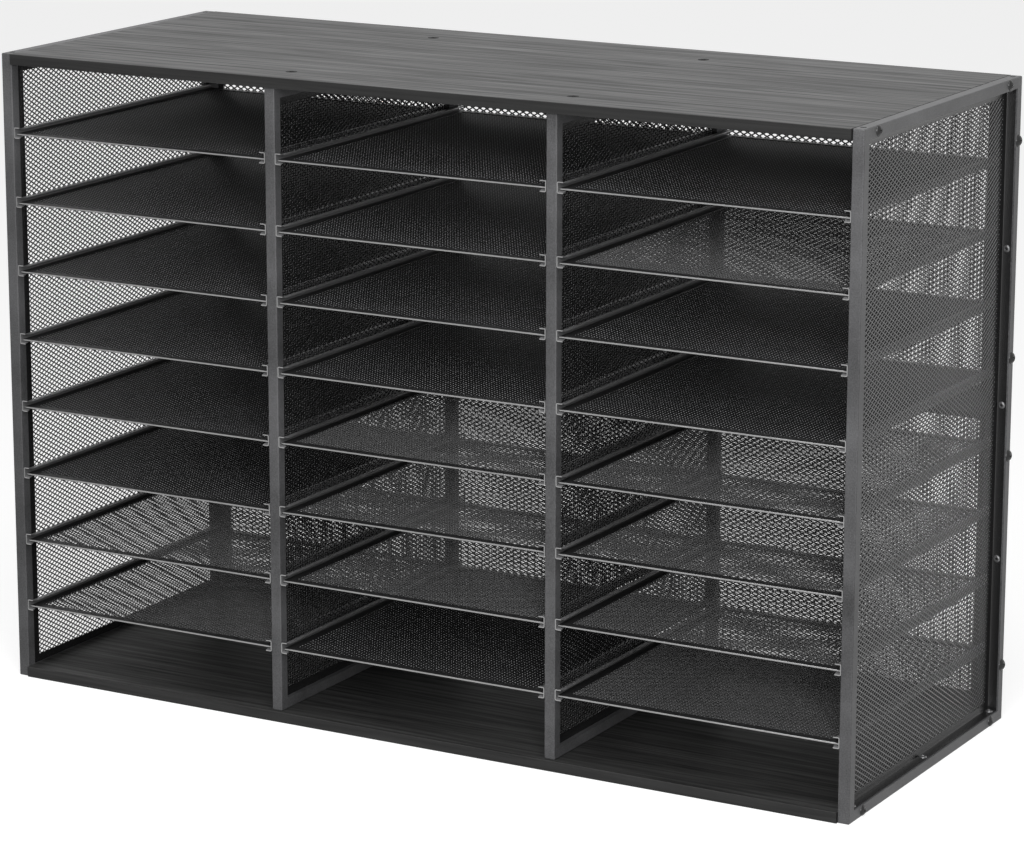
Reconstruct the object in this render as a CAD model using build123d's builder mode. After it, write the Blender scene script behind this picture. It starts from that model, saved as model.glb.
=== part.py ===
from build123d import *
import os

os.makedirs("parts", exist_ok=True)

# Pigeonhole mail sorter. Two boards, two side frames, two dividers and a back in two panels make
# a case with three columns, and mesh shelves slide into channels on the faces of each column.
# Millimetres. X is the width, Y the depth with the front at -Y, Z is up. The origin is on the
# floor, under the middle of the side frames.

# Case
width = 785.0
depth = 305.0
height = 540.0
column_names = ("left", "middle", "right")
divider_names = ("left", "right")
shelves_per_column = 8
top_slot = 57.5             # from the top board down to the middle of the first channels
bottom_slot = 55.0          # from the bottom board up to the middle of the last channels

# Boards, which are as thick as the tube is wide
board_proud = 2.0           # front edge ahead of the side frames
board_rounding = 0.6

# Square-cut steel tube, welded into rectangular frames
tube_width = 9.0            # in the plane of a frame
tube_wall = 1.0
tube_rounding = 1.0
side_tube_thickness = 10.0  # across the plane of a frame
divider_tube_thickness = 9.5
back_tube_thickness = 10.0
divider_setback = 1.0       # divider front behind the side frames' front
vent_diameter = 5.0
vent_from_end = 8.5

# Expanded mesh, at its real mass: a plain sheet in the back and the shelves, and a thicker sheet
# with a coarse grid of openings inside its rim in the sides and the dividers
plain_mesh_sheet = 0.5
open_mesh_sheet = 1.0
open_mesh_rim = 7.0
mesh_openings_along = 12    # the longer side of a panel
mesh_open_share = 0.7       # of the pitch of its openings, each way

# Folded edge of the side panels
tray_flange = 0.8
tray_edge_inset = 1.4       # from a side frame's outer face to the edge of the fold

# Shelf channels
channel_height = 6.2
channel_reach = 5.5         # from the web's back to the edges of the lips
channel_sheet = 0.8
channel_lead_in = 6.0       # length of the flared mouth
channel_flare = 1.6         # rise and drop of the lips at the mouth

# Shelves
shelf_thickness = 1.8
shelf_hem = 8.0
shelf_side_clearance = 0.7
shelf_back_clearance = 0.5
shelf_setback = 3.0         # front edge behind the side frames' front

# Screws
hole_clearance = 0.1        # round a screw, a countersunk head or a rivet
screw_shank_diameter = 3.5
screw_recess_width = 1.0
screw_recess_depth = 1.2
side_screw_head_diameter = 8.6
side_screw_head_height = 2.6
side_screw_bite = 20.0          # into the end of a board
side_screw_from_edge = 25.0     # from the front and the back of the side frames
back_screw_head_diameter = 10.2
back_screw_head_height = 3.0
back_screw_bite = 6.0           # into the tube of a back frame
back_screw_from_low_edge = 39.0     # of a back panel
back_screw_from_high_edge = 43.0
board_screw_head_diameter = 9.6
board_screw_bite = 7.0          # into the tube of a divider
board_screw_from_front = 32.0
board_screw_from_back = 48.0
board_screw_offset = 1.8        # to the right of a divider's middle

# Rivets that hold the side panels' mesh
rivet_head_diameter = 6.4
rivet_head_height = 1.2
rivet_shank_diameter = 3.8
rivet_bore_diameter = 2.2
rivet_tail_diameter = 5.2
rivet_tail_height = 1.0
rivet_from_corner = 6.0         # of the fold, for the outer rivets of a rail

# Derived places
front = -depth / 2
back = depth / 2
board_front = front - board_proud
board_thickness = tube_width
inner_width = width - 2 * side_tube_thickness
inner_height = height - 2 * board_thickness
inner_x = inner_width / 2
inner_top = height - board_thickness
middle_z = height / 2
column_width = (inner_width - len(divider_names) * divider_tube_thickness) / len(column_names)
column_step = column_width + divider_tube_thickness
first_column_x = -column_step * len(divider_names) / 2
column_x = {name: first_column_x + i * column_step for i, name in enumerate(column_names)}
divider_x = {name: first_column_x + (i + 0.5) * column_step for i, name in enumerate(divider_names)}
divider_front = front + divider_setback
divider_back = back - back_tube_thickness
divider_depth = divider_back - divider_front
divider_middle_y = (divider_front + divider_back) / 2
back_panel_height = inner_height / 2
back_panel_bottom = {"lower": board_thickness, "upper": middle_z}
slot_pitch = (inner_height - top_slot - bottom_slot) / (shelves_per_column - 1)
channel_z = [inner_top - top_slot - i * slot_pitch for i in range(shelves_per_column)]
shelf_width = column_width - 2 * (channel_sheet + shelf_side_clearance)
shelf_front = front + shelf_setback
shelf_back = divider_back - shelf_back_clearance
shelf_depth = shelf_back - shelf_front
screw_hole_radius = screw_shank_diameter / 2 + hole_clearance
rivet_hole_radius = rivet_shank_diameter / 2 + hole_clearance
rivet_grip = tray_flange + tube_wall
side_screw_length = side_tube_thickness + side_screw_bite
back_screw_length = side_tube_thickness + back_screw_bite
board_screw_length = board_thickness + board_screw_bite
sides = {"left": -1, "right": 1}
boards = {"bottom": -1, "top": 1}


def finish(piece, label):
    """Name one sub-part and write it to its own file."""
    piece.part.label = label
    export_step(piece.part, f"parts/{label}.step")


def across(x, facing, y=0.0, z=0.0):
    """A plane square to X that faces left (-1) or right (1), with its own X along the depth."""
    return Plane(origin=(x, y, z), x_dir=(0, 1, 0), z_dir=(facing, 0, 0))


def side_screw_planes(side):
    """Where the screws of the boards' ends sit on a side frame's outer face."""
    y_places = (front + side_screw_from_edge, back - side_screw_from_edge)
    z_places = (board_thickness / 2, height - board_thickness / 2)
    return [across(side * width / 2, side, y, z) for y in y_places for z in z_places]


def back_screw_planes(side):
    """Where the screws of the back panels sit on a side frame's outer face."""
    y = back - tube_width / 2
    z_places = [bottom + back_screw_from_low_edge for bottom in back_panel_bottom.values()]
    z_places += [
        bottom + back_panel_height - back_screw_from_high_edge for bottom in back_panel_bottom.values()
    ]
    return [across(side * width / 2, side, y, z) for z in z_places]


def board_screw_planes(facing):
    """Where the screws of the dividers sit on the outer face of the bottom (-1) or top (1) board."""
    z = middle_z + facing * height / 2
    y_places = (front + board_screw_from_front, back - board_screw_from_back)
    return [
        Plane(origin=(x + board_screw_offset, y, z), z_dir=(0, 0, facing))
        for x in divider_x.values()
        for y in y_places
    ]


def rivet_planes(side):
    """Where the rivets sit on the fold round a side panel's mesh, with their heads inwards."""
    x = side * (inner_x + side_tube_thickness / 2)
    fold_y = back - tube_width - tray_flange
    fold_z = height / 2 - tube_width - tray_flange
    planes = []
    for end in (-1, 1):
        for step in (-1, 0, 1):
            post_place = (x, end * fold_y, middle_z + step * fold_z / 2)
            rail_place = (x, step * (fold_y - rivet_from_corner), middle_z + end * fold_z)
            planes.append(Plane(origin=post_place, z_dir=(0, -end, 0)))
            planes.append(Plane(origin=rail_place, z_dir=(0, 0, -end)))
    return planes


def drill(planes, radius, reach):
    """Cut one hole below each plane, as deep as the fastener there reaches."""
    with Locations(*[plane.location for plane in planes]):
        Hole(radius, depth=reach)


def tube_frame(plane, run, rise, thickness):
    """A welded rectangle of tube that stands on a plane and is centred on it."""
    far_wall = tube_width - tube_wall
    with BuildPart() as frame:
        with BuildSketch(plane):
            Rectangle(run, rise)
        block = extrude(amount=thickness)
        fillet(block.edges(), tube_rounding)
        with BuildSketch(plane):
            Rectangle(run - 2 * tube_width, rise - 2 * tube_width)
        extrude(amount=thickness, mode=Mode.SUBTRACT)
        with BuildSketch(plane.offset(tube_wall)):
            Rectangle(run - 2 * tube_wall, rise - 2 * tube_wall)
            Rectangle(run - 2 * far_wall, rise - 2 * far_wall, mode=Mode.SUBTRACT)
        extrude(amount=thickness - 2 * tube_wall, mode=Mode.SUBTRACT)
    return frame.part


def mesh_openings(run, rise):
    """The grid of openings inside the rim of a mesh panel."""
    window_run = run - 2 * open_mesh_rim
    window_rise = rise - 2 * open_mesh_rim
    pitch = max(window_run, window_rise) / mesh_openings_along
    columns = round(window_run / pitch)
    rows = round(window_rise / pitch)
    run_pitch = window_run / columns
    rise_pitch = window_rise / rows
    with BuildSketch() as openings:
        with GridLocations(run_pitch, rise_pitch, columns, rows):
            Rectangle(run_pitch * mesh_open_share, rise_pitch * mesh_open_share)
    return openings.sketch


def cross_recess(top, head_diameter):
    """The cross that a driver turns a screw by, cut down from the top of its head."""
    with BuildPart() as recess:
        with BuildSketch(Plane.XY.offset(top)):
            Rectangle(head_diameter / 2, screw_recess_width)
            Rectangle(screw_recess_width, head_diameter / 2)
        extrude(amount=-screw_recess_depth)
    return recess.part


def domed_screw(head_diameter, head_height, length):
    """A screw along Z, with a round head that stands on the XY plane and a plain shank below."""
    head_radius = head_diameter / 2
    shank_radius = screw_shank_diameter / 2
    dome_radius = (head_radius**2 + head_height**2) / (2 * head_height)
    with BuildPart() as screw:
        with BuildSketch(Plane.XZ):
            with BuildLine():
                Polyline(
                    (0, head_height),
                    (0, -length),
                    (shank_radius, -length),
                    (shank_radius, 0),
                    (head_radius, 0),
                )
                RadiusArc((head_radius, 0), (0, head_height), -dome_radius)
            make_face()
        revolve(axis=Axis.Z)
        add(cross_recess(head_height, head_diameter), mode=Mode.SUBTRACT)
    return screw.part


def flat_screw(head_diameter, length):
    """A countersunk screw along Z, with its flat head level with the XY plane."""
    head_radius = head_diameter / 2
    shank_radius = screw_shank_diameter / 2
    with BuildPart() as screw:
        with BuildSketch(Plane.XZ):
            with BuildLine():
                Polyline(
                    (0, 0),
                    (head_radius, 0),
                    (shank_radius, shank_radius - head_radius),
                    (shank_radius, -length),
                    (0, -length),
                    close=True,
                )
            make_face()
        revolve(axis=Axis.Z)
        add(cross_recess(0, head_diameter), mode=Mode.SUBTRACT)
    return screw.part


def hollow_rivet():
    """A hollow rivet along Z: its head stands on the XY plane, and its tail is spread below."""
    whole_length = rivet_head_height + rivet_grip + rivet_tail_height
    with BuildPart() as rivet:
        with BuildSketch():
            Circle(rivet_head_diameter / 2)
        head = extrude(amount=rivet_head_height)
        fillet(head.edges().group_by(Axis.Z)[-1], rivet_head_height / 2)
        with BuildSketch():
            Circle(rivet_shank_diameter / 2)
        extrude(amount=-rivet_grip)
        with BuildSketch(Plane.XY.offset(-rivet_grip)):
            Circle(rivet_tail_diameter / 2)
        extrude(amount=-rivet_tail_height)
        with BuildSketch(Plane.XY.offset(rivet_head_height)):
            Circle(rivet_bore_diameter / 2)
        extrude(amount=-whole_length, mode=Mode.SUBTRACT)
    return rivet.part


def fasten(piece, planes, label):
    """Write one node with a copy of a fastener on each plane, as separate solids."""
    with BuildPart() as fasteners:
        with Locations(*[plane.location for plane in planes]):
            add(piece)
    finish(fasteners, label)


def channel_profile(inset):
    """A channel seen along X, from its flared mouth to its back end, thinned at the lips."""
    lip = channel_height / 2 - inset
    mouth_lip = lip + channel_flare
    mouth_end = divider_front + channel_lead_in
    with BuildSketch() as profile:
        with BuildLine():
            Polyline(
                (divider_front, mouth_lip),
                (mouth_end, lip),
                (divider_back, lip),
                (divider_back, -lip),
                (mouth_end, -lip),
                (divider_front, -mouth_lip),
                close=True,
            )
        make_face()
    return profile.sketch


def channels(face_x, facing, label):
    """The channels on one upright face, one for each shelf, with their webs against the face."""
    levels = [(0, facing * z) for z in channel_z]
    with BuildPart() as channel_set:
        with BuildSketch(across(face_x, facing)):
            with Locations(*levels):
                add(channel_profile(0))
        extrude(amount=channel_reach)
        with BuildSketch(across(face_x + facing * channel_sheet, facing)):
            with Locations(*levels):
                add(channel_profile(channel_sheet))
        extrude(amount=channel_reach - channel_sheet, mode=Mode.SUBTRACT)
    finish(channel_set, label)


# Boards, with rounded front edges, screw holes in their ends and countersunk holes in their faces
for board_name, facing in boards.items():
    board_bottom = 0.0 if facing < 0 else inner_top
    with BuildPart() as board:
        with BuildSketch(Plane.XY.offset(board_bottom)):
            with Locations((0, (board_front + back) / 2)):
                Rectangle(inner_width, back - board_front)
        extrude(amount=board_thickness)
        front_edges = board.edges().filter_by(Axis.X).group_by(Axis.Y)[0]
        fillet(front_edges, board_rounding)
        for side in sides.values():
            drill(side_screw_planes(side), screw_hole_radius, side_screw_length)
        with Locations(*[plane.location for plane in board_screw_planes(facing)]):
            CounterSinkHole(
                screw_hole_radius,
                board_screw_head_diameter / 2 + hole_clearance,
                depth=board_thickness,
                counter_sink_angle=90,
            )
    finish(board, f"{board_name}_board")
    fasten(
        flat_screw(board_screw_head_diameter, board_screw_length),
        board_screw_planes(facing),
        f"{board_name}_board_screws",
    )

# Side frames, their mesh in a folded tray, and the screws and rivets that go through them
for side_name, side in sides.items():
    inner_face = across(side * inner_x, side, z=middle_z)
    with BuildPart() as side_frame:
        add(tube_frame(inner_face, depth, height, side_tube_thickness))
        drill(side_screw_planes(side), screw_hole_radius, side_screw_length)
        drill(back_screw_planes(side), screw_hole_radius, back_screw_length)
        drill(rivet_planes(side), rivet_hole_radius, rivet_grip)
        with BuildSketch(Plane.XY.offset(height)):
            with Locations((side * (inner_x + side_tube_thickness / 2), 0)):
                with GridLocations(0, depth - 2 * vent_from_end, 1, 2):
                    Circle(vent_diameter / 2)
        extrude(amount=-tube_wall, mode=Mode.SUBTRACT)
    finish(side_frame, f"{side_name}_side_frame")

    tray_run = depth - 2 * tube_width
    tray_rise = height - 2 * tube_width
    with BuildPart() as side_mesh:
        with BuildSketch(inner_face):
            Rectangle(tray_run, tray_rise)
            add(mesh_openings(tray_run, tray_rise), mode=Mode.SUBTRACT)
        extrude(amount=open_mesh_sheet)
        with BuildSketch(inner_face):
            Rectangle(tray_run, tray_rise)
            Rectangle(tray_run - 2 * tray_flange, tray_rise - 2 * tray_flange, mode=Mode.SUBTRACT)
        extrude(amount=side_tube_thickness - tray_edge_inset)
        drill(rivet_planes(side), rivet_hole_radius, rivet_grip)
    finish(side_mesh, f"{side_name}_side_mesh")

    fasten(
        domed_screw(side_screw_head_diameter, side_screw_head_height, side_screw_length),
        side_screw_planes(side),
        f"{side_name}_side_screws",
    )
    fasten(
        domed_screw(back_screw_head_diameter, back_screw_head_height, back_screw_length),
        back_screw_planes(side),
        f"{side_name}_back_screws",
    )
    fasten(hollow_rivet(), rivet_planes(side), f"{side_name}_mesh_rivets")
    channels(side * inner_x, -side, f"{side_name}_side_channels")

# Dividers, with the mesh in the middle of the tube's thickness and channels on both faces
for divider_name, x in divider_x.items():
    divider_face = across(x - divider_tube_thickness / 2, 1, divider_middle_y, middle_z)
    with BuildPart() as divider_frame:
        add(tube_frame(divider_face, divider_depth, inner_height, divider_tube_thickness))
        for facing in boards.values():
            drill(board_screw_planes(facing), screw_hole_radius, board_screw_length)
    finish(divider_frame, f"{divider_name}_divider_frame")

    divider_run = divider_depth - 2 * tube_width
    divider_rise = inner_height - 2 * tube_width
    with BuildPart() as divider_mesh:
        with BuildSketch(across(x, 1, divider_middle_y, middle_z)):
            Rectangle(divider_run, divider_rise)
            add(mesh_openings(divider_run, divider_rise), mode=Mode.SUBTRACT)
        extrude(amount=open_mesh_sheet / 2, both=True)
    finish(divider_mesh, f"{divider_name}_divider_mesh")

    for face_name, facing in sides.items():
        face_x = x + facing * divider_tube_thickness / 2
        channels(face_x, facing, f"{divider_name}_divider_{face_name}_channels")

# Back panels, one above the other, with the mesh level with the inside of the tube
for panel_name, panel_bottom in back_panel_bottom.items():
    panel_middle = (0, divider_back, panel_bottom + back_panel_height / 2)
    inside_face = Plane(origin=panel_middle, x_dir=(-1, 0, 0), z_dir=(0, 1, 0))
    with BuildPart() as back_frame:
        add(tube_frame(inside_face, inner_width, back_panel_height, back_tube_thickness))
        for side in sides.values():
            drill(back_screw_planes(side), screw_hole_radius, back_screw_length)
    finish(back_frame, f"{panel_name}_back_frame")

    with BuildPart() as back_mesh:
        with BuildSketch(inside_face):
            Rectangle(inner_width - 2 * tube_width, back_panel_height - 2 * tube_width)
        extrude(amount=plain_mesh_sheet)
    finish(back_mesh, f"{panel_name}_back_mesh")

# Shelves, numbered from the top: mesh in a flat hem, which lies on the lower lips of its channels
for column_name, x in column_x.items():
    for number, z in enumerate(channel_z, start=1):
        shelf_bottom = z - channel_height / 2 + channel_sheet
        shelf_middle = (x, (shelf_front + shelf_back) / 2)
        with BuildPart() as shelf:
            with BuildSketch(Plane.XY.offset(shelf_bottom)):
                with Locations(shelf_middle):
                    Rectangle(shelf_width, shelf_depth)
                    Rectangle(shelf_width - 2 * shelf_hem, shelf_depth - 2 * shelf_hem, mode=Mode.SUBTRACT)
            extrude(amount=shelf_thickness)
            with BuildSketch(Plane.XY.offset(shelf_bottom + (shelf_thickness - plain_mesh_sheet) / 2)):
                with Locations(shelf_middle):
                    Rectangle(shelf_width - shelf_hem, shelf_depth - shelf_hem)
            extrude(amount=plain_mesh_sheet)
        finish(shelf, f"shelf_{column_name}_{number}")
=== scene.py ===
import math

import bmesh
import bpy
from mathutils import Matrix, Vector


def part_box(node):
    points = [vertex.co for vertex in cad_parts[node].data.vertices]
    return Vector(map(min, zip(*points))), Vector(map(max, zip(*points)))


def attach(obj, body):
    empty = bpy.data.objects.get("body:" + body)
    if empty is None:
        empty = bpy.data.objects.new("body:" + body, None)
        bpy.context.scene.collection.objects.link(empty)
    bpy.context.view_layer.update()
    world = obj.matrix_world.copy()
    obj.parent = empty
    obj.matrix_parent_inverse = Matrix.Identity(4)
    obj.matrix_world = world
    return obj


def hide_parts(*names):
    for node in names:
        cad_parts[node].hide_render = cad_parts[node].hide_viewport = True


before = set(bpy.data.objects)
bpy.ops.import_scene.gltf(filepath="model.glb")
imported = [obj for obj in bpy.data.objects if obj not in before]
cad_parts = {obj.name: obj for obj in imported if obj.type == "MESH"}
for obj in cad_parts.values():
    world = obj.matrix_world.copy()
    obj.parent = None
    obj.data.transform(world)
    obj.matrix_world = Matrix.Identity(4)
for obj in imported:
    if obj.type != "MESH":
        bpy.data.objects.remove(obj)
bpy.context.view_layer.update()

# Studio: a long lens low to the right of the front, three soft lamps, and a plain floor.
# Floor and air look white to the lens and in gloss, and the floor keeps the sorter's shadow.
mm = 0.001
scene = bpy.context.scene
scene.view_settings.view_transform = "Standard"

camera = bpy.data.objects.new("camera", bpy.data.cameras.new("camera"))
scene.collection.objects.link(camera)
camera.data.sensor_width = 36
camera.data.lens = 137.1
camera_turn = math.radians(29.37)
camera_tilt = math.radians(90 - 13.71)
camera_roll = math.radians(0.078)
camera.matrix_world = (
    Matrix.Translation((1.5582, -2.7523, 1.0067))
    @ Matrix.Rotation(camera_turn, 4, "Z")
    @ Matrix.Rotation(camera_tilt, 4, "X")
    @ Matrix.Rotation(camera_roll, 4, "Z")
)
bpy.context.scene.camera = camera


def add_node(tree, kind, inputs, **settings):
    """A new node with its settings, and with a value or a link for each input named."""
    made = tree.nodes.new(kind)
    for name, value in settings.items():
        setattr(made, name, value)
    for name, value in inputs.items():
        if isinstance(value, bpy.types.NodeSocket):
            tree.links.new(value, made.inputs[name])
        else:
            made.inputs[name].default_value = value
    return made


def calc(tree, operation, *terms):
    """The result of a Math node on numbers and sockets."""
    return add_node(tree, "ShaderNodeMath", dict(enumerate(terms)), operation=operation).outputs[0]


def seen_directly(tree):
    """1 for a ray from the lens or from gloss or glass, and 0 for one that lights a surface."""
    path = add_node(tree, "ShaderNodeLightPath", {}).outputs
    either = calc(tree, "MAXIMUM", path["Is Camera Ray"], path["Is Glossy Ray"])
    return calc(tree, "MAXIMUM", either, path["Is Transmission Ray"])


air = bpy.data.worlds.new("studio_air")
air.use_nodes = True
scene.world = air
air_tree = air.node_tree
lighting_level = 0.15
seen_level = 1.0
air_level = add_node(
    air_tree,
    "ShaderNodeMapRange",
    {"Value": seen_directly(air_tree), "To Min": lighting_level, "To Max": seen_level},
)
air_tree.links.new(air_level.outputs[0], air_tree.nodes["Background"].inputs["Strength"])
air_tree.nodes["Background"].inputs["Color"].default_value = (1, 1, 1, 1)

lamp_distance = 2.5
for lamp_name, lamp_size, lamp_power, lamp_direction in (
    ("top_lamp", 1.6, 46, Vector((0.15, -0.35, 0.9))),
    ("front_lamp", 1.2, 50, Vector((0.45, -0.8, 0.4))),
    ("rim_lamp", 0.8, 4, Vector((0.74, 0.67, 0.15))),
):
    lamp = bpy.data.objects.new(lamp_name, bpy.data.lights.new(lamp_name, "AREA"))
    scene.collection.objects.link(lamp)
    lamp.data.size = lamp_size
    lamp.data.energy = lamp_power
    lamp.location = lamp_direction.normalized() * lamp_distance
    lamp.rotation_euler = lamp_direction.to_track_quat("Z", "Y").to_euler()
    lamp.visible_camera = False

floor_half = 30.0
floor_level = -0.2 * mm
floor_mesh = bpy.data.meshes.new("floor")
floor_mesh.from_pydata(
    [(x * floor_half, y * floor_half, floor_level) for x, y in ((-1, -1), (1, -1), (1, 1), (-1, 1))],
    [],
    [(0, 1, 2, 3)],
)
floor = bpy.data.objects.new("floor", floor_mesh)
scene.collection.objects.link(floor)
floor_paint = bpy.data.materials.new("pale_floor")
floor_paint.use_nodes = True
floor_tree = floor_paint.node_tree
floor_shader = floor_tree.nodes["Principled BSDF"]
floor_shader.inputs["Base Color"].default_value = (0.3, 0.3, 0.3, 1)
floor_shader.inputs["Roughness"].default_value = 1.0
floor_shader.inputs["Specular IOR Level"].default_value = 0.0
floor_shader.inputs["Emission Color"].default_value = (1, 1, 1, 1)
floor_glow = 0.8
floor_tree.links.new(
    calc(floor_tree, "MULTIPLY", seen_directly(floor_tree), floor_glow),
    floor_shader.inputs["Emission Strength"],
)
floor_sides = add_node(
    floor_tree,
    "ShaderNodeMixShader",
    {
        0: add_node(floor_tree, "ShaderNodeNewGeometry", {}).outputs["Backfacing"],
        1: floor_shader.outputs[0],
        2: add_node(floor_tree, "ShaderNodeBsdfTransparent", {}).outputs[0],
    },
)
floor_tree.links.new(floor_sides.outputs[0], floor_tree.nodes["Material Output"].inputs["Surface"])
floor_mesh.materials.append(floor_paint)

# Side frames: square steel tube welded into upright rectangles, with black powder coat baked on.
# The boards, the back panels and the mesh are screwed or riveted to them.


def new_group(name, inputs, outputs, kind="ShaderNodeTree"):
    """An empty node group with named sockets, given as {name: (socket kind, usual value)}."""
    tree = bpy.data.node_groups.new(name, kind)
    for socket_name, (socket_kind, usual) in inputs.items():
        socket = tree.interface.new_socket(socket_name, in_out="INPUT", socket_type=socket_kind)
        if usual is not None:
            socket.default_value = usual
    for socket_name, socket_kind in outputs.items():
        tree.interface.new_socket(socket_name, in_out="OUTPUT", socket_type=socket_kind)
    return tree, tree.nodes.new("NodeGroupInput").outputs, tree.nodes.new("NodeGroupOutput").inputs


powder_coat, coat_in, coat_out = new_group(
    "powder_coat",
    {
        "Tone": ("NodeSocketColor", (0.03, 0.03, 0.03, 1)),
        "Fleck": ("NodeSocketFloat", 0.3),
        "Gloss Change": ("NodeSocketFloat", 0.08),
        "Roughness": ("NodeSocketFloat", 0.4),
        "Peel Size": ("NodeSocketFloat", 1.2 * mm),
        "Peel Depth": ("NodeSocketFloat", 0.03 * mm),
    },
    {"Color": "NodeSocketColor", "Roughness": "NodeSocketFloat", "Normal": "NodeSocketVector"},
)
coat_place = add_node(powder_coat, "ShaderNodeTexCoord", {}).outputs["Object"]
coat_scale = calc(powder_coat, "DIVIDE", 1.0, coat_in["Peel Size"])
coat_peel = add_node(
    powder_coat,
    "ShaderNodeTexNoise",
    {"Vector": coat_place, "Scale": coat_scale, "Detail": 3.0, "Roughness": 0.55},
).outputs[0]
coat_patches = add_node(
    powder_coat,
    "ShaderNodeTexNoise",
    {"Vector": coat_place, "Scale": 14.0, "Detail": 5.0, "Roughness": 0.6},
).outputs[0]
peel_share = calc(powder_coat, "MULTIPLY", coat_peel, 0.5)
coat_mix = calc(powder_coat, "MULTIPLY_ADD", coat_patches, 0.7, peel_share)
coat_change = calc(powder_coat, "MULTIPLY_ADD", coat_mix, 2.0, -1.2)
coat_lift = calc(powder_coat, "MULTIPLY_ADD", coat_change, coat_in["Fleck"], 1.0)
coat_color = add_node(
    powder_coat,
    "ShaderNodeVectorMath",
    {0: coat_in["Tone"], "Scale": coat_lift},
    operation="SCALE",
).outputs[0]
powder_coat.links.new(coat_color, coat_out["Color"])
powder_coat.links.new(
    calc(powder_coat, "MULTIPLY_ADD", coat_change, coat_in["Gloss Change"], coat_in["Roughness"]),
    coat_out["Roughness"],
)
coat_bump = add_node(
    powder_coat,
    "ShaderNodeBump",
    {"Strength": 1.0, "Distance": coat_in["Peel Depth"], "Height": coat_peel},
).outputs[0]
powder_coat.links.new(coat_bump, coat_out["Normal"])


def coated(name, tone, roughness, fleck=0.3, peel_size=1.2 * mm, peel_depth=0.03 * mm, metallic=0.0,
           shine=0.5):
    """A material of coated steel, with the powder coat's unevenness in its tone, gloss and surface."""
    material = bpy.data.materials.new(name)
    material.use_nodes = True
    tree = material.node_tree
    shader = tree.nodes["Principled BSDF"]
    group = add_node(
        tree,
        "ShaderNodeGroup",
        {
            "Tone": (*tone, 1),
            "Fleck": fleck,
            "Roughness": roughness,
            "Peel Size": peel_size,
            "Peel Depth": peel_depth,
        },
        node_tree=powder_coat,
    )
    tree.links.new(group.outputs["Color"], shader.inputs["Base Color"])
    tree.links.new(group.outputs["Roughness"], shader.inputs["Roughness"])
    tree.links.new(group.outputs["Normal"], shader.inputs["Normal"])
    shader.inputs["Metallic"].default_value = metallic
    shader.inputs["Specular IOR Level"].default_value = shine
    return material


def dress(node_name, material):
    """Give a CAD node its finish in place of the plain one it came with."""
    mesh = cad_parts[node_name].data
    mesh.materials.clear()
    mesh.materials.append(material)


tube_coat = coated("tube_powder_coat", (0.062, 0.062, 0.064), 0.45, fleck=1.6, shine=0.3)
side_names = ("left", "right")
for side_name in side_names:
    dress(f"{side_name}_side_frame", tube_coat)

# Top and bottom boards: particle board with a black laminate that has a wood grain pressed into it,
# darker on the faces that do not face up or down. They stand between the side frames, grain lengthways.
laminate = bpy.data.materials.new("black_grain_laminate")
laminate.use_nodes = True
laminate_tree = laminate.node_tree
laminate_shader = laminate_tree.nodes["Principled BSDF"]
laminate_place = add_node(laminate_tree, "ShaderNodeTexCoord", {}).outputs["Object"]
streak_place = add_node(
    laminate_tree,
    "ShaderNodeMapping",
    {"Vector": laminate_place, "Scale": (7.0, 240.0, 240.0)},
).outputs[0]
streaks = add_node(
    laminate_tree,
    "ShaderNodeTexNoise",
    {"Vector": streak_place, "Scale": 1.0, "Detail": 6.0, "Roughness": 0.62, "Distortion": 0.35},
).outputs[0]
pore_place = add_node(
    laminate_tree,
    "ShaderNodeMapping",
    {"Vector": laminate_place, "Scale": (45.0, 900.0, 900.0)},
).outputs[0]
pores = add_node(
    laminate_tree,
    "ShaderNodeTexNoise",
    {"Vector": pore_place, "Scale": 1.0, "Detail": 2.0},
).outputs[0]
laminate_tone = add_node(laminate_tree, "ShaderNodeValToRGB", {"Fac": streaks})
laminate_tone.color_ramp.elements[0].position = 0.38
laminate_tone.color_ramp.elements[0].color = (0.005, 0.005, 0.005, 1)
laminate_tone.color_ramp.elements[1].position = 0.62
laminate_tone.color_ramp.elements[1].color = (0.034, 0.034, 0.0335, 1)
laminate_facing = add_node(laminate_tree, "ShaderNodeTexCoord", {}).outputs["Normal"]
laminate_rise = add_node(laminate_tree, "ShaderNodeSeparateXYZ", {"Vector": laminate_facing}).outputs["Z"]
laminate_flat = calc(laminate_tree, "ABSOLUTE", laminate_rise)
# Faces that do not face up or down take this share of the laminate's tone, so they are darker.
side_face_share = 0.35
laminate_share = add_node(
    laminate_tree,
    "ShaderNodeMapRange",
    {"Value": laminate_flat, "To Min": side_face_share, "To Max": 1.0},
).outputs[0]
laminate_color = add_node(
    laminate_tree,
    "ShaderNodeVectorMath",
    {0: laminate_tone.outputs[0], "Scale": laminate_share},
    operation="SCALE",
).outputs[0]
laminate_tree.links.new(laminate_color, laminate_shader.inputs["Base Color"])
laminate_gloss = add_node(
    laminate_tree,
    "ShaderNodeMapRange",
    {"Value": streaks, "From Min": 0.3, "From Max": 0.7, "To Min": 0.58, "To Max": 0.36},
).outputs[0]
laminate_tree.links.new(laminate_gloss, laminate_shader.inputs["Roughness"])
laminate_shader.inputs["Specular IOR Level"].default_value = 0.3
laminate_relief = add_node(
    laminate_tree,
    "ShaderNodeBump",
    {
        "Strength": 1.0,
        "Distance": 0.05 * mm,
        "Height": calc(laminate_tree, "MULTIPLY_ADD", streaks, 1.2, pores),
    },
).outputs[0]
laminate_tree.links.new(laminate_relief, laminate_shader.inputs["Normal"])
for board_name in ("top", "bottom"):
    dress(f"{board_name}_board", laminate)

# Screws: black round-headed ones go through the side frames into the boards' ends and the back
# panels, and black flush ones through the boards into the dividers. Each has a cross recess.


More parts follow.
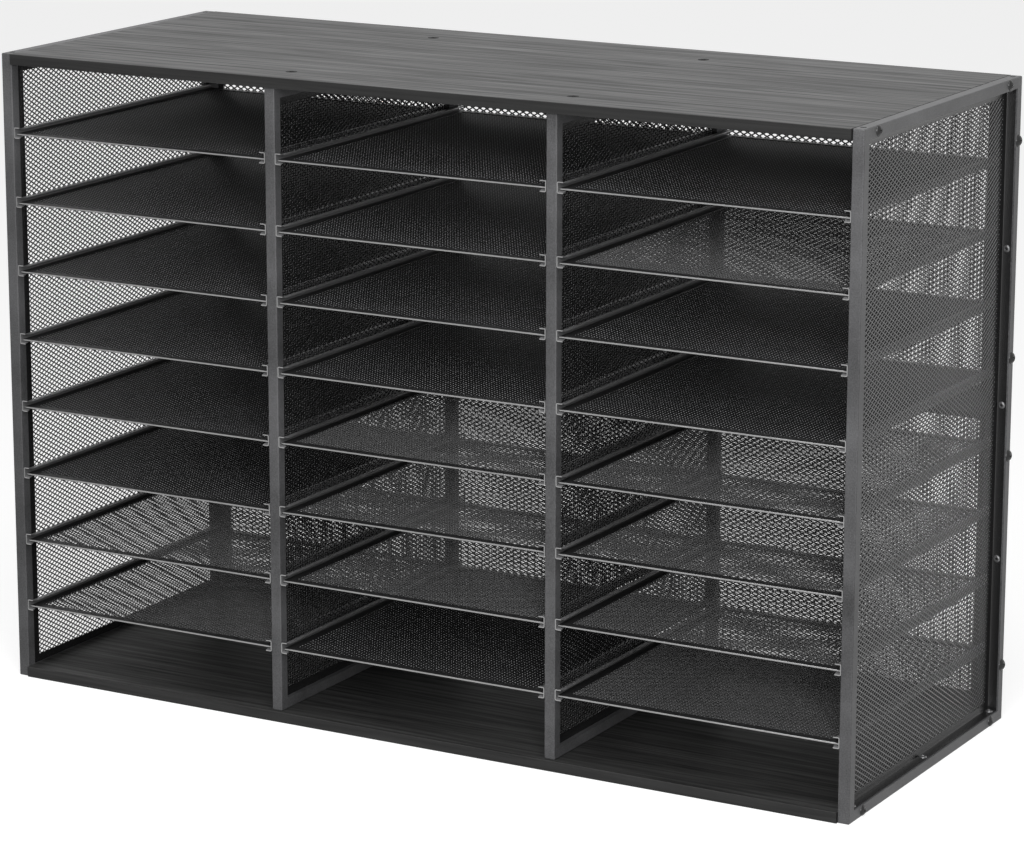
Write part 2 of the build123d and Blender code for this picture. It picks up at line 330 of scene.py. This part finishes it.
def lathed(name, profile, segments=24):
    """A mesh turned about Z from a closed run of (radius, height) points."""
    form = bmesh.new()
    rings = []
    for radius, level in profile:
        if radius == 0:
            rings.append([form.verts.new((0, 0, level))])
            continue
        turns = [2 * math.pi * i / segments for i in range(segments)]
        points = [(radius * math.cos(a), radius * math.sin(a), level) for a in turns]
        rings.append([form.verts.new(point) for point in points])
    for ring, following in zip(rings, rings[1:] + rings[:1]):
        if len(ring) == len(following) == 1:
            continue
        for i in range(segments):
            corners = [ring[i % len(ring)], ring[(i + 1) % len(ring)]]
            corners += [following[(i + 1) % len(following)], following[i % len(following)]]
            form.faces.new(list(dict.fromkeys(corners)))
    bmesh.ops.recalc_face_normals(form, faces=form.faces)
    mesh = bpy.data.meshes.new(name)
    form.to_mesh(mesh)
    form.free()
    return mesh


def baked(thing):
    """Turn what an object's modifiers make into its plain mesh, and take the modifiers away."""
    bpy.context.view_layer.update()
    mesh = bpy.data.meshes.new_from_object(thing.evaluated_get(bpy.context.evaluated_depsgraph_get()))
    thing.modifiers.clear()
    thing.data = mesh
    return thing


def placed(name, mesh):
    """An object at the origin that shows a mesh."""
    thing = bpy.data.objects.new(name, mesh)
    scene.collection.objects.link(thing)
    return thing


def cross_cut(mesh, top, head_diameter):
    """The mesh of a screw with a driver's cross cut into the top of its head."""
    form = bmesh.new()
    depth = 1.3 * mm
    blade = 1.1 * mm
    cross_share = 0.56
    for turn in (0, math.pi / 2):
        cutter = bmesh.ops.create_cube(form, size=1.0)["verts"]
        for corner in cutter:
            taper = 0.7 if corner.co.z < 0 else 1.0
            reach = corner.co.x * head_diameter * cross_share * taper
            corner.co = (reach, corner.co.y * blade * taper, top + corner.co.z * 2 * depth)
        bmesh.ops.rotate(form, verts=cutter, matrix=Matrix.Rotation(turn, 3, "Z"))
    cutter_mesh = bpy.data.meshes.new("driver_cross")
    form.to_mesh(cutter_mesh)
    form.free()
    cutter = placed("driver_cross", cutter_mesh)
    screw = placed("screw_blank", mesh)
    cut = screw.modifiers.new("cross", "BOOLEAN")
    cut.object = cutter
    cut.operation = "DIFFERENCE"
    cut.use_self = True
    mesh = baked(screw).data
    bpy.data.objects.remove(screw)
    bpy.data.objects.remove(cutter)
    return mesh


fastener_tree, fastener_in, fastener_out = new_group(
    "fasteners",
    {
        "Places": ("NodeSocketGeometry", None),
        "Fastener": ("NodeSocketObject", None),
        "Most Turn": ("NodeSocketFloat", 0.0),
        "Seed": ("NodeSocketInt", 0),
        "Finish": ("NodeSocketMaterial", None),
    },
    {"Fasteners": "NodeSocketGeometry"},
    "GeometryNodeTree",
)
facing_value = add_node(
    fastener_tree,
    "GeometryNodeInputNamedAttribute",
    {"Name": "facing"},
    data_type="FLOAT_VECTOR",
)
outwards = add_node(
    fastener_tree,
    "FunctionNodeAlignRotationToVector",
    {"Vector": facing_value.outputs[0]},
    axis="Z",
)
random_turn = add_node(
    fastener_tree,
    "FunctionNodeRandomValue",
    {2: 0.0, 3: fastener_in["Most Turn"], "Seed": fastener_in["Seed"]},
    data_type="FLOAT",
)
own_turn = add_node(
    fastener_tree,
    "FunctionNodeAxisAngleToRotation",
    {"Axis": (0, 0, 1), "Angle": random_turn.outputs[1]},
)
whole_turn = add_node(
    fastener_tree,
    "FunctionNodeRotateRotation",
    {0: outwards.outputs[0], 1: own_turn.outputs[0]},
    rotation_space="LOCAL",
)
fastener_shape = add_node(fastener_tree, "GeometryNodeObjectInfo", {"Object": fastener_in["Fastener"]})
fastener_set = add_node(
    fastener_tree,
    "GeometryNodeInstanceOnPoints",
    {
        "Points": fastener_in["Places"],
        "Instance": fastener_shape.outputs["Geometry"],
        "Rotation": whole_turn.outputs[0],
    },
)
fastener_real = add_node(
    fastener_tree,
    "GeometryNodeRealizeInstances",
    {"Geometry": fastener_set.outputs[0]},
)
fastener_done = add_node(
    fastener_tree,
    "GeometryNodeSetMaterial",
    {"Geometry": fastener_real.outputs[0], "Material": fastener_in["Finish"]},
)
fastener_tree.links.new(fastener_done.outputs[0], fastener_out["Fasteners"])


def made_by(thing, tree, **inputs):
    """Run a Geometry Nodes tree on an object, inputs in lower case, and keep its plain mesh."""
    modifier = thing.modifiers.new(tree.name, "NODES")
    modifier.node_group = tree
    for item in tree.interface.items_tree:
        key = item.name.lower().replace(" ", "_")
        if item.in_out == "INPUT" and key in inputs:
            modifier[item.identifier] = inputs[key]
    return baked(thing)


def smoothed(thing, angle=35):
    """Shade a piece smooth, and leave the edges that are sharper than an angle crisp."""
    thing.data.shade_smooth()
    thing.data.set_sharp_from_angle(angle=math.radians(angle))
    return thing


def fastened(name, shape, places, finish, seed, most_turn=math.pi / 2):
    """Copies of a fastener along Z, one for each (point, direction that its head faces)."""
    points = bpy.data.meshes.new(name)
    points.from_pydata([point for point, _ in places], [], [])
    facing = points.attributes.new("facing", "FLOAT_VECTOR", "POINT")
    facing.data.foreach_set("vector", [value for _, direction in places for value in direction])
    pattern = placed(f"{name}_pattern", shape)
    thing = placed(name, points)
    made_by(thing, fastener_tree, fastener=pattern, most_turn=most_turn, seed=seed, finish=finish)
    bpy.data.objects.remove(pattern)
    return smoothed(thing)


shank = 1.75 * mm


def domed_screw(head_diameter, head_height):
    """A round-headed screw, cut off just below the head, where the tube hides it."""
    radius = head_diameter / 2
    ball = (radius**2 + head_height**2) / (2 * head_height)
    full_turn = math.asin(radius / ball)
    rise = head_height - ball
    steps = 7
    dome = [(ball * math.sin(full_turn * i / steps), rise + ball * math.cos(full_turn * i / steps))
            for i in range(steps + 1)]
    seat = -0.05 * mm
    shank_end = -6 * mm
    rim = [(radius, seat), (shank, seat), (shank, shank_end), (0, shank_end)]
    return cross_cut(lathed("domed_screw", dome + rim), head_height, head_diameter)


def flush_screw(head_diameter):
    """A countersunk screw with its flat head level with the face it is driven into."""
    radius = head_diameter / 2
    shank_end = -12 * mm
    profile = [(0, 0), (radius - 0.3 * mm, 0), (radius, -0.15 * mm)]
    profile += [(shank, shank - radius), (shank, shank_end), (0, shank_end)]
    return cross_cut(lathed("flush_screw", profile), 0.0, head_diameter)


smooth_peel = 0.005 * mm
screw_black = coated(
    "screw_black", (0.006, 0.006, 0.006), 0.25, fleck=0.2, peel_depth=smooth_peel, shine=0.4
)
flush_black = coated(
    "flush_screw_black", (0.003, 0.003, 0.003), 0.6, fleck=0.2, peel_depth=smooth_peel, shine=0.1
)
low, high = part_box("right_side_frame")
middle_z = (low.z + high.z) / 2
half_tube = 4.5 * mm
board_screw_y = high.y - 25 * mm
board_screw_z = middle_z - low.z - half_tube
back_screw_y = high.y - half_tube
inner_low = low.z + 2 * half_tube
back_screw_levels = [inner_low + 39 * mm, middle_z - 43 * mm, middle_z + 39 * mm, high.z - 52 * mm]
for side_name, side in zip(side_names, (-1, 1)):
    outer_x = side * high.x
    outward = (side, 0, 0)
    end_places = [((outer_x, y * board_screw_y, middle_z + z * board_screw_z), outward)
                  for y in (-1, 1) for z in (-1, 1)]
    end_screw = domed_screw(8.6 * mm, 2.6 * mm)
    end_screws = fastened(f"{side_name}_board_end_screws", end_screw, end_places, screw_black, 3)
    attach(end_screws, "case")
    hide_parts(f"{side_name}_side_screws")
    panel_places = [((outer_x, back_screw_y, z), outward) for z in back_screw_levels]
    panel_screw = domed_screw(10.2 * mm, 3.0 * mm)
    panel_screws = fastened(f"{side_name}_panel_screws", panel_screw, panel_places, screw_black, 5)
    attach(panel_screws, "case")
    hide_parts(f"{side_name}_back_screws")

divider_screw_shift = 1.8 * mm
divider_screw_rows = (low.y + 32 * mm, high.y - 48 * mm)
for board_name, facing in (("bottom", -1), ("top", 1)):
    board_level = middle_z + facing * (high.z - middle_z)
    divider_places = []
    for divider_name in side_names:
        divider_low, divider_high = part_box(f"{divider_name}_divider_frame")
        screw_x = (divider_low.x + divider_high.x) / 2 + divider_screw_shift
        for screw_y in divider_screw_rows:
            divider_places.append(((screw_x, screw_y, board_level), (0, 0, facing)))
    flush = flush_screw(9.6 * mm)
    divider_screws = fastened(f"{board_name}_divider_screws", flush, divider_places, flush_black, 7)
    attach(divider_screws, "case")
    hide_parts(f"{board_name}_board_screws")

# Side panels: expanded steel mesh, slit and pulled into diamonds, so that its strands lean and its
# uncut bonds stand proud, painted lighter as a painted highlight. A flat rim, folded outwards into a
# tray, is riveted to the inner walls of the side frame.
mesh_tree, mesh_in, mesh_out = new_group(
    "expanded_mesh",
    {
        "Rim": ("NodeSocketGeometry", None),
        "Half Run": ("NodeSocketFloat", 0.1),
        "Half Rise": ("NodeSocketFloat", 0.1),
        "Level": ("NodeSocketFloat", 0.0),
        "Long Way": ("NodeSocketFloat", 7.14 * mm),
        "Short Way": ("NodeSocketFloat", 4.07 * mm),
        "Strand Width": ("NodeSocketFloat", 1.12 * mm),
        "Strand Thickness": ("NodeSocketFloat", 0.42 * mm),
        "Strand Tilt": ("NodeSocketFloat", 0.28),
        "Bond Length": ("NodeSocketFloat", 1.7 * mm),
        "Bond Width": ("NodeSocketFloat", 1.2 * mm),
        "Bond Height": ("NodeSocketFloat", 1.2 * mm),
        "Finish": ("NodeSocketMaterial", None),
        "Fold Finish": ("NodeSocketMaterial", None),
        "Bond Finish": ("NodeSocketMaterial", None),
    },
    {"Panel": "NodeSocketGeometry"},
    "GeometryNodeTree",
)


def reckon(operation, *terms):
    """The result of a Math node in the expanded mesh's tree."""
    return calc(mesh_tree, operation, *terms)


strand_turn = reckon("ARCTAN2", mesh_in["Short Way"], mesh_in["Long Way"])
turn_sine = reckon("SINE", strand_turn)
turn_cosine = reckon("COSINE", strand_turn)
strand_pitch = reckon("MULTIPLY", mesh_in["Long Way"], turn_sine)
strand_reach = reckon(
    "MULTIPLY_ADD",
    mesh_in["Half Rise"],
    turn_cosine,
    reckon("MULTIPLY", mesh_in["Half Run"], turn_sine),
)
strands_a_side = reckon("CEIL", reckon("DIVIDE", strand_reach, strand_pitch))
strand_count = reckon("MULTIPLY_ADD", strands_a_side, 2.0, 1.0)
strand_index = add_node(mesh_tree, "GeometryNodeInputIndex", {}).outputs[0]
strand_offset = reckon("MULTIPLY", reckon("SUBTRACT", strand_index, strands_a_side), strand_pitch)
across_run = reckon("MULTIPLY", strand_offset, turn_sine)
across_rise = reckon("MULTIPLY", strand_offset, turn_cosine)
lower_edge = reckon("MULTIPLY", mesh_in["Half Rise"], -1.0)
strand_start = reckon(
    "MAXIMUM",
    reckon("DIVIDE", reckon("SUBTRACT", across_run, mesh_in["Half Run"]), turn_cosine),
    reckon("DIVIDE", reckon("SUBTRACT", lower_edge, across_rise), turn_sine),
)
strand_end = reckon(
    "MINIMUM",
    reckon("DIVIDE", reckon("ADD", across_run, mesh_in["Half Run"]), turn_cosine),
    reckon("DIVIDE", reckon("SUBTRACT", mesh_in["Half Rise"], across_rise), turn_sine),
)
strand_length = reckon("SUBTRACT", strand_end, strand_start)
strand_middle = reckon("MULTIPLY", reckon("ADD", strand_start, strand_end), 0.5)
strand_place = add_node(
    mesh_tree,
    "ShaderNodeCombineXYZ",
    {
        0: reckon("SUBTRACT", reckon("MULTIPLY", strand_middle, turn_cosine), across_run),
        1: reckon("MULTIPLY_ADD", strand_middle, turn_sine, across_rise),
        2: mesh_in["Level"],
    },
)
strand_row = add_node(mesh_tree, "GeometryNodeMeshLine", {"Count": strand_count})
strand_points = add_node(
    mesh_tree,
    "GeometryNodeSetPosition",
    {"Geometry": strand_row.outputs[0], "Position": strand_place.outputs[0]},
)
strand_bar = add_node(mesh_tree, "GeometryNodeMeshCube", {"Size": (1, 1, 1)})
strand_angles = add_node(mesh_tree, "ShaderNodeCombineXYZ", {0: mesh_in["Strand Tilt"], 2: strand_turn})
strand_sizes = add_node(
    mesh_tree,
    "ShaderNodeCombineXYZ",
    {0: strand_length, 1: mesh_in["Strand Width"], 2: mesh_in["Strand Thickness"]},
)
long_enough = add_node(
    mesh_tree,
    "FunctionNodeCompare",
    {0: strand_length, 1: mesh_in["Strand Width"]},
    data_type="FLOAT",
    operation="GREATER_THAN",
)
one_way = add_node(
    mesh_tree,
    "GeometryNodeInstanceOnPoints",
    {
        "Points": strand_points.outputs[0],
        "Selection": long_enough.outputs[0],
        "Instance": strand_bar.outputs[0],
        "Rotation": strand_angles.outputs[0],
        "Scale": strand_sizes.outputs[0],
    },
)
one_way_real = add_node(mesh_tree, "GeometryNodeRealizeInstances", {"Geometry": one_way.outputs[0]})
crossing_gap = (0, 0, 0.04 * mm)
mirrored = add_node(
    mesh_tree,
    "GeometryNodeTransform",
    {"Geometry": one_way_real.outputs[0], "Translation": crossing_gap, "Scale": (-1, 1, 1)},
)
other_way = add_node(mesh_tree, "GeometryNodeFlipFaces", {0: mirrored.outputs[0]})
bond_shape = add_node(mesh_tree, "GeometryNodeMeshUVSphere", {"Segments": 4, "Rings": 2, "Radius": 0.5})
bond_lump = add_node(
    mesh_tree,
    "GeometryNodeStoreNamedAttribute",
    {"Geometry": bond_shape.outputs[0], "Name": "bond", "Value": True},
    data_type="BOOLEAN",
    domain="FACE",
)
bond_sizes = add_node(
    mesh_tree,
    "ShaderNodeCombineXYZ",
    {0: mesh_in["Bond Length"], 1: mesh_in["Bond Width"], 2: mesh_in["Bond Height"]},
)
bond_level = add_node(mesh_tree, "ShaderNodeCombineXYZ", {2: mesh_in["Level"]})
bond_turn = add_node(mesh_tree, "ShaderNodeCombineXYZ", {0: mesh_in["Strand Tilt"]})
bond_sets = []
for half_step in (0.0, 0.5):
    counts = []
    sizes = []
    for half_size, way in (("Half Run", "Long Way"), ("Half Rise", "Short Way")):
        cells = reckon("DIVIDE", mesh_in[half_size], mesh_in[way])
        steps = reckon("FLOOR", reckon("ADD", cells, half_step))
        count = reckon("MULTIPLY_ADD", steps, 2.0, 1.0 - 2 * half_step)
        counts.append(count)
        sizes.append(reckon("MULTIPLY", reckon("SUBTRACT", count, 1.0), mesh_in[way]))
    bond_grid = add_node(
        mesh_tree,
        "GeometryNodeMeshGrid",
        {"Size X": sizes[0], "Size Y": sizes[1], "Vertices X": counts[0], "Vertices Y": counts[1]},
    )
    bond_sets.append(
        add_node(
            mesh_tree,
            "GeometryNodeInstanceOnPoints",
            {
                "Points": bond_grid.outputs[0],
                "Instance": bond_lump.outputs[0],
                "Rotation": bond_turn.outputs[0],
                "Scale": bond_sizes.outputs[0],
            },
        )
    )
bonds = add_node(mesh_tree, "GeometryNodeJoinGeometry", {})
for bond_set in bond_sets:
    mesh_tree.links.new(bond_set.outputs[0], bonds.inputs[0])
raised_bonds = add_node(
    mesh_tree,
    "GeometryNodeTransform",
    {"Geometry": bonds.outputs[0], "Translation": bond_level.outputs[0]},
)
whole_panel = add_node(mesh_tree, "GeometryNodeJoinGeometry", {})
for part in (mesh_in["Rim"], one_way_real.outputs[0], other_way.outputs[0], raised_bonds.outputs[0]):
    mesh_tree.links.new(part, whole_panel.inputs[0])
panel_real = add_node(mesh_tree, "GeometryNodeRealizeInstances", {"Geometry": whole_panel.outputs[0]})
panel_done = add_node(
    mesh_tree,
    "GeometryNodeSetMaterial",
    {"Geometry": panel_real.outputs[0], "Material": mesh_in["Finish"]},
)
for mark, mark_finish in (("fold", "Fold Finish"), ("bond", "Bond Finish")):
    marked = add_node(mesh_tree, "GeometryNodeInputNamedAttribute", {"Name": mark}, data_type="BOOLEAN")
    panel_done = add_node(
        mesh_tree,
        "GeometryNodeSetMaterial",
        {
            "Geometry": panel_done.outputs[0],
            "Selection": marked.outputs[0],
            "Material": mesh_in[mark_finish],
        },
    )
mesh_tree.links.new(panel_done.outputs[0], mesh_out["Panel"])


def mark_folds(mesh, folded):
    """Note on each face, in the order they were made, whether it takes the painted highlight of a fold.
    """
    mesh.attributes.new("fold", "BOOLEAN", "FACE").data.foreach_set("value", folded)


def rim_mesh(name, run, rise, profile, folds):
    """A rectangular ring with mitred corners: its section is given as (inset, level) points."""
    form = bmesh.new()
    rings = []
    for inset, level in profile:
        x = run / 2 - inset
        y = rise / 2 - inset
        corners = ((x, y, level), (-x, y, level), (-x, -y, level), (x, -y, level))
        rings.append([form.verts.new(corner) for corner in corners])
    for ring, following in zip(rings, rings[1:] + rings[:1]):
        for i in range(4):
            form.faces.new((ring[i], ring[i - 3], following[i - 3], following[i]))
    bmesh.ops.recalc_face_normals(form, faces=form.faces)
    mesh = bpy.data.meshes.new(name)
    form.to_mesh(mesh)
    form.free()
    mark_folds(mesh, [step in folds for step in range(len(profile)) for _ in range(4)])
    return mesh


def mesh_panel(name, run, rise, rim, profile, level, finish, folds=(), fold_finish=None):
    """A panel in the XY plane, with the diamonds' long way along X and their ends under the rim."""
    tuck = 1.2 * mm
    panel = placed(name, rim_mesh(name, run, rise, profile, folds))
    made_by(
        panel,
        mesh_tree,
        half_run=run / 2 - rim + tuck,
        half_rise=rise / 2 - rim + tuck,
        level=level,
        finish=finish,
        fold_finish=fold_finish or finish,
        bond_finish=bond_painted_highlight,
    )
    return smoothed(panel, 30)


def set_up(thing, origin, x_axis, y_axis):
    """Move a piece's mesh from the XY plane at the origin to a place with these axes."""
    columns = (Vector(x_axis), Vector(y_axis), Vector(x_axis).cross(Vector(y_axis)))
    turn = Matrix(columns).transposed().to_4x4()
    thing.data.transform(Matrix.Translation(origin) @ turn)
    return thing


mesh_coat = coated("mesh_powder_coat", (0.008, 0.008, 0.0082), 0.25, peel_size=0.7 * mm, shine=0.4)
# The bonds are painted lighter than the coat, a painted highlight on the bond lumps.
bond_painted_highlight = coated("bond_powder_coat", (0.24, 0.24, 0.245), 0.4, peel_size=0.7 * mm, shine=0.3)
tray_section = [
    (0.0, 8.6), (0.0, 1.2), (0.35, 0.35), (1.2, 0.0), (7.0, 0.0), (7.0, 1.1),
    (1.9, 1.1), (1.1, 1.4), (0.8, 2.0), (0.8, 8.6),
]
for side_name, side in zip(side_names, (-1, 1)):
    node_name = f"{side_name}_side_mesh"
    low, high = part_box(node_name)
    panel = mesh_panel(
        f"{side_name}_panel",
        high.y - low.y,
        high.z - low.z,
        7 * mm,
        [(inset * mm, level * mm) for inset, level in tray_section],
        0.6 * mm,
        mesh_coat,
    )
    inner_x = high.x if side < 0 else low.x
    set_up(panel, (inner_x, (low.y + high.y) / 2, (low.z + high.z) / 2), (0, -side, 0), (0, 0, -1))
    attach(panel, "case")
    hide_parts(node_name)

# Rivets: hollow steel ones with a rounded ring for a head, three along each side of each tray.
# They go through the folded edge of the tray and the inner wall of the tube.
rivet_section = [
    (1.1, -2.8), (1.1, 0.9), (1.25, 1.12), (1.6, 1.2), (2.2, 1.12), (2.8, 0.8), (3.15, 0.3), (3.2, 0.0),
    (1.9, 0.0), (1.9, -1.8), (2.6, -1.8), (2.6, -2.8),
]
rivet_profile = [(radius * mm, level * mm) for radius, level in rivet_section]
rivet_steel = coated(
    "rivet_steel", (0.12, 0.12, 0.122), 0.25, fleck=0.2, peel_depth=smooth_peel, metallic=0.6
)
tray_sheet = 0.8 * mm
end_rivet_inset = 6 * mm
for side_name in side_names:
    node_name = f"{side_name}_mesh_rivets"
    tray_low, tray_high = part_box(f"{side_name}_side_mesh")
    frame_low, frame_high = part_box(f"{side_name}_side_frame")
    rivet_x = (frame_low.x + frame_high.x) / 2
    fold_y = tray_high.y - tray_sheet
    fold_z = tray_high.z - tray_sheet - middle_z
    places = []
    for end in (-1, 1):
        for step in (-1, 0, 1):
            places.append(((rivet_x, end * fold_y, middle_z + step * fold_z / 2), (0, -end, 0)))
            rail_y = step * (fold_y - end_rivet_inset)
            places.append(((rivet_x, rail_y, middle_z + end * fold_z), (0, 0, -end)))
    ring_rivet = lathed("ring_rivet", rivet_profile, 20)
    rivets = fastened(f"{side_name}_ring_rivets", ring_rivet, places, rivet_steel, 11)
    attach(rivets, "case")
    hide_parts(node_name)

# Dividers: two tube frames between the boards, coated like the side frames, with mesh in the middle
# of their thickness, held by a flat rim that is welded inside the tube.
flat_section = [
    (0.0, 0.6), (0.0, -0.6), (6.7, -0.6), (7.0, -0.3), (7.0, 0.3), (6.7, 0.6),
]
for divider_name in side_names:
    dress(f"{divider_name}_divider_frame", tube_coat)
    node_name = f"{divider_name}_divider_mesh"
    low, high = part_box(node_name)
    panel = mesh_panel(
        f"{divider_name}_divider_panel",
        high.y - low.y,
        high.z - low.z,
        7 * mm,
        [(inset * mm, level * mm) for inset, level in flat_section],
        0.0,
        mesh_coat,
    )
    set_up(panel, (low + high) / 2, (0, 1, 0), (0, 0, 1))
    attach(panel, "case")
    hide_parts(node_name)

# Back: two tube frames, one on the other, coated like the side frames, with mesh level with their
# inner faces. A narrow rim welded inside the tube holds it.
back_section = [
    (0.0, 1.2), (0.0, 0.0), (4.7, 0.0), (5.0, 0.3), (5.0, 0.9), (4.7, 1.2),
]
for panel_name in ("lower", "upper"):
    dress(f"{panel_name}_back_frame", tube_coat)
    node_name = f"{panel_name}_back_mesh"
    low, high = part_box(node_name)
    panel = mesh_panel(
        f"{panel_name}_back_panel",
        high.x - low.x,
        high.z - low.z,
        5 * mm,
        [(inset * mm, level * mm) for inset, level in back_section],
        0.6 * mm,
        mesh_coat,
    )
    set_up(panel, ((low.x + high.x) / 2, low.y, (low.z + high.z) / 2), (-1, 0, 0), (0, 0, 1))
    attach(panel, "case")
    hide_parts(node_name)

# Channels: strips of thin coated sheet bent into a C and welded to the uprights, with their lips
# spread at the front so that a shelf finds its way in. The cut edges of the lips and the front end
# are painted bright, a painted highlight.
# Eight on each face of each column.
channel_tree, channel_in, channel_out = new_group(
    "channel_set",
    {
        "Channel": ("NodeSocketGeometry", None),
        "Levels": ("NodeSocketInt", 8),
        "Pitch": ("NodeSocketFloat", 58.5 * mm),
        "Finish": ("NodeSocketMaterial", None),
        "Fold Finish": ("NodeSocketMaterial", None),
    },
    {"Channels": "NodeSocketGeometry"},
    "GeometryNodeTree",
)
channel_step = add_node(channel_tree, "ShaderNodeCombineXYZ", {2: channel_in["Pitch"]})
channel_row = add_node(
    channel_tree,
    "GeometryNodeMeshLine",
    {"Count": channel_in["Levels"], "Offset": channel_step.outputs[0]},
)
channel_copies = add_node(
    channel_tree,
    "GeometryNodeInstanceOnPoints",
    {"Points": channel_row.outputs[0], "Instance": channel_in["Channel"]},
)
channel_real = add_node(
    channel_tree,
    "GeometryNodeRealizeInstances",
    {"Geometry": channel_copies.outputs[0]},
)
channel_done = add_node(
    channel_tree,
    "GeometryNodeSetMaterial",
    {"Geometry": channel_real.outputs[0], "Material": channel_in["Finish"]},
)
cut_faces = add_node(
    channel_tree,
    "GeometryNodeInputNamedAttribute",
    {"Name": "fold"},
    data_type="BOOLEAN",
)
channel_edged = add_node(
    channel_tree,
    "GeometryNodeSetMaterial",
    {
        "Geometry": channel_done.outputs[0],
        "Selection": cut_faces.outputs[0],
        "Material": channel_in["Fold Finish"],
    },
)
channel_tree.links.new(channel_edged.outputs[0], channel_out["Channels"])

channel_levels = 8
channel_section = [
    (5.5, 3.1), (1.2, 3.1), (0.35, 2.75), (0.0, 1.9),
    (0.0, -1.9), (0.35, -2.75), (1.2, -3.1), (5.5, -3.1),
    (5.5, -2.3), (1.3, -2.3), (0.92, -2.18), (0.8, -1.8),
    (0.8, 1.8), (0.92, 2.18), (1.3, 2.3), (5.5, 2.3),
]
lip_edges = (0, 8)
lead_in = 6 * mm
flare = 1.6 * mm


def channel_mesh(face_x, facing, front_y, back_y, level):
    """One channel, with its web against an upright face at face_x and its lips towards facing."""
    form = bmesh.new()
    rings = []
    flare_steps = 5
    spread = [(front_y + lead_in * (1 - i / flare_steps), flare * (i / flare_steps) ** 1.4)
              for i in range(flare_steps + 1)]
    for y, rise in [(back_y, 0.0), *spread]:
        ring = []
        for reach, height in channel_section:
            z = level + height * mm + math.copysign(rise, height)
            ring.append(form.verts.new((face_x + facing * reach * mm, y, z)))
        rings.append(ring)
    count = len(channel_section)
    for ring, following in zip(rings, rings[1:]):
        for i in range(count):
            form.faces.new((ring[i], ring[i - 1], following[i - 1], following[i]))
    form.faces.new(rings[0])
    form.faces.new(rings[-1])
    bmesh.ops.recalc_face_normals(form, faces=form.faces)
    mesh = bpy.data.meshes.new("channel")
    form.to_mesh(mesh)
    form.free()
    mark_folds(mesh, [i in lip_edges for _ in rings[1:] for i in range(count)] + [False, True])
    return mesh


channel_coat = coated("channel_powder_coat", (0.11, 0.11, 0.112), 0.35)
# A bright metallic paint that is a painted highlight on the shelf hems' rounded edges and on the
# channels' lip ends and front ends.
fold_painted_highlight = coated("rubbed_fold", (0.3, 0.3, 0.3), 0.3, fleck=0.2, peel_depth=0.01 * mm, metallic=0.9)
channel_faces = {
    "left_side_channels": 1,
    "left_divider_left_channels": -1,
    "left_divider_right_channels": 1,
    "right_divider_left_channels": -1,
    "right_divider_right_channels": 1,
    "right_side_channels": -1,
}
for node_name, facing in channel_faces.items():
    low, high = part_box(node_name)
    face_x = low.x if facing > 0 else high.x
    flared_height = channel_section[0][1] * mm + flare
    lowest = low.z + flared_height
    pitch = (high.z - low.z - 2 * flared_height) / (channel_levels - 1)
    first_rail = channel_mesh(face_x, facing, low.y, high.y, lowest)
    rails = placed(node_name.replace("channels", "rails"), first_rail)
    made_by(
        rails,
        channel_tree,
        levels=channel_levels,
        pitch=pitch,
        finish=channel_coat,
        fold_finish=fold_painted_highlight,
    )
    smoothed(rails, 50)
    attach(rails, "case")
    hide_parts(node_name)

# Shelves: expanded mesh in a hem of folded sheet, the upper part of its rounded outer edge painted
# bright, a painted highlight. Each one slides out to the front in its channels. The mesh leans one
# way, so a shelf that was put in turned round can be seen through, and one that wasn't looks closed.
shelf_coat = coated("shelf_powder_coat", (0.011, 0.011, 0.0113), 0.35, shine=0.15)
hem = 8.0
hem_radius = 0.9
fold_turns = [math.pi * i / 6 for i in range(7)]
hem_section = [(hem_radius * (1 - math.sin(a)), hem_radius * math.cos(a)) for a in fold_turns]
hem_section += [(hem - 0.4, -hem_radius), (hem, -0.5), (hem, 0.5), (hem - 0.4, hem_radius)]
low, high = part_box("shelf_left_1")
shelf_pattern = mesh_panel(
    "shelf_pattern",
    high.x - low.x,
    high.y - low.y,
    hem * mm,
    [(inset * mm, level * mm) for inset, level in hem_section],
    0.0,
    shelf_coat,
    folds=(1, 2, 3),
    fold_finish=fold_painted_highlight,
)
shelves_turned_round = {"left": (7, 8), "middle": (5, 6, 7), "right": (2, 5, 6, 7, 8)}
for column_name, turned_round in shelves_turned_round.items():
    for number in range(1, channel_levels + 1):
        node_name = f"shelf_{column_name}_{number}"
        low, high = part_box(node_name)
        shelf = placed(f"mesh_{node_name}", shelf_pattern.data.copy())
        way = -1 if number in turned_round else 1
        set_up(shelf, (low + high) / 2, (way, 0, 0), (0, way, 0))
        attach(shelf, node_name)
        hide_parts(node_name)
bpy.data.objects.remove(shelf_pattern)
